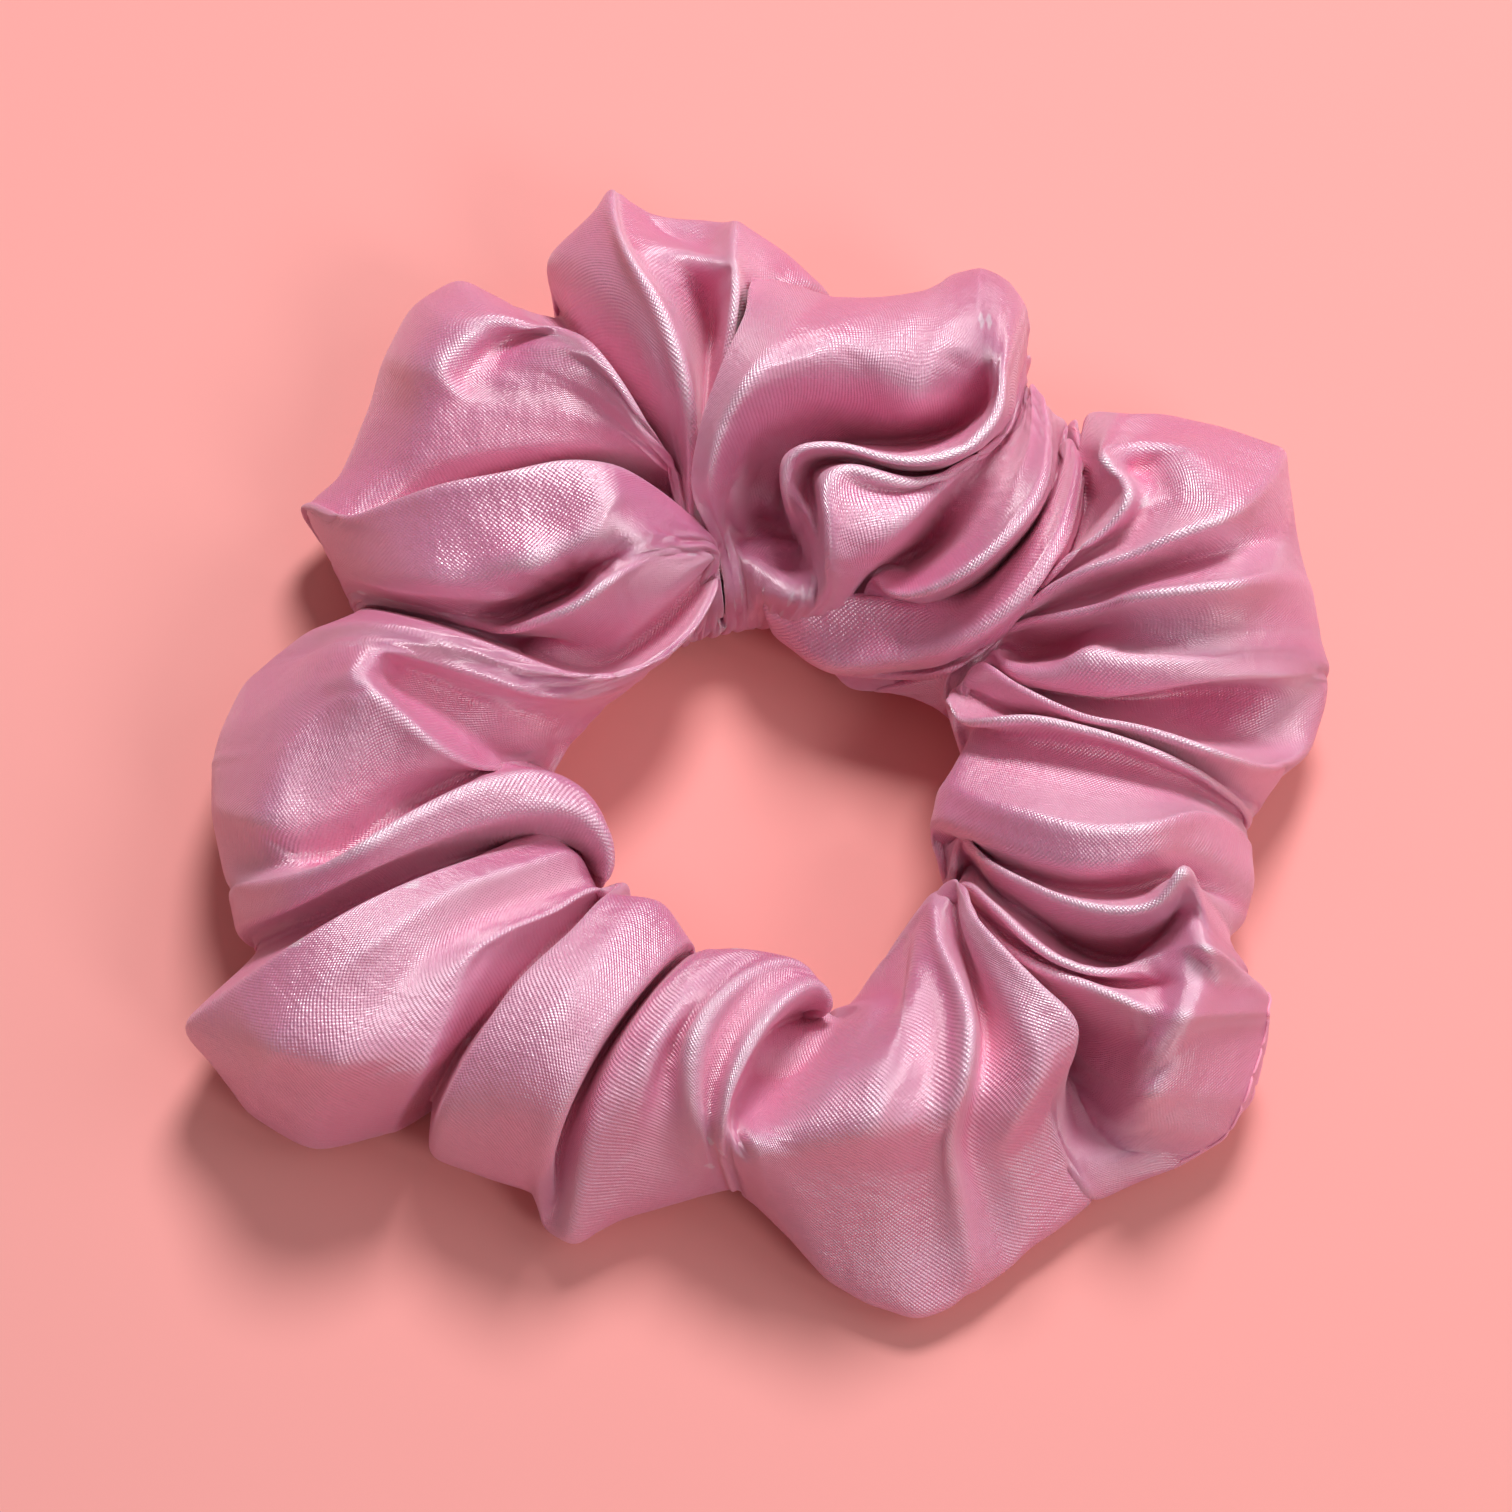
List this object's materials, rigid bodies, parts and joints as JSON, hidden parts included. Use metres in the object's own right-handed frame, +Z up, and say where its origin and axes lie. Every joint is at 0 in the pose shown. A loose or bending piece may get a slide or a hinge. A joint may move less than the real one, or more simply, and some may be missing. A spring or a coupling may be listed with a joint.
{
  "type": "scrunchie",
  "caption": "Gathered satin scrunchie: a puffed cloth tube round a flat elastic loop, with a central opening that holds a bunch of hair.",
  "frame": {"origin": "on the table the scrunchie lies on, under the middle of its outline", "axes": "+Z up through the hair opening; +Y away from the viewer of the picture; +X to the viewer's right"},
  "size_m": [0.1064, 0.1106, 0.0275],
  "materials": {
    "satin": "glossy pale pink polyester satin with a fine twill weave",
    "elastic": "matt off-white knitted elastic",
    "thread": "soft pink spun polyester sewing thread"
  },
  "bodies": {
    "root": {"satin_cover": "satin", "elastic_band": "elastic", "elastic_tack_thread": "thread", "closing_needle_thread": "thread", "closing_bobbin_thread": "thread", "long_seam_needle_thread": "thread", "long_seam_bobbin_thread": "thread", "end_seam_needle_thread": "thread", "end_seam_bobbin_thread": "thread"}
  },
  "joints": []
}
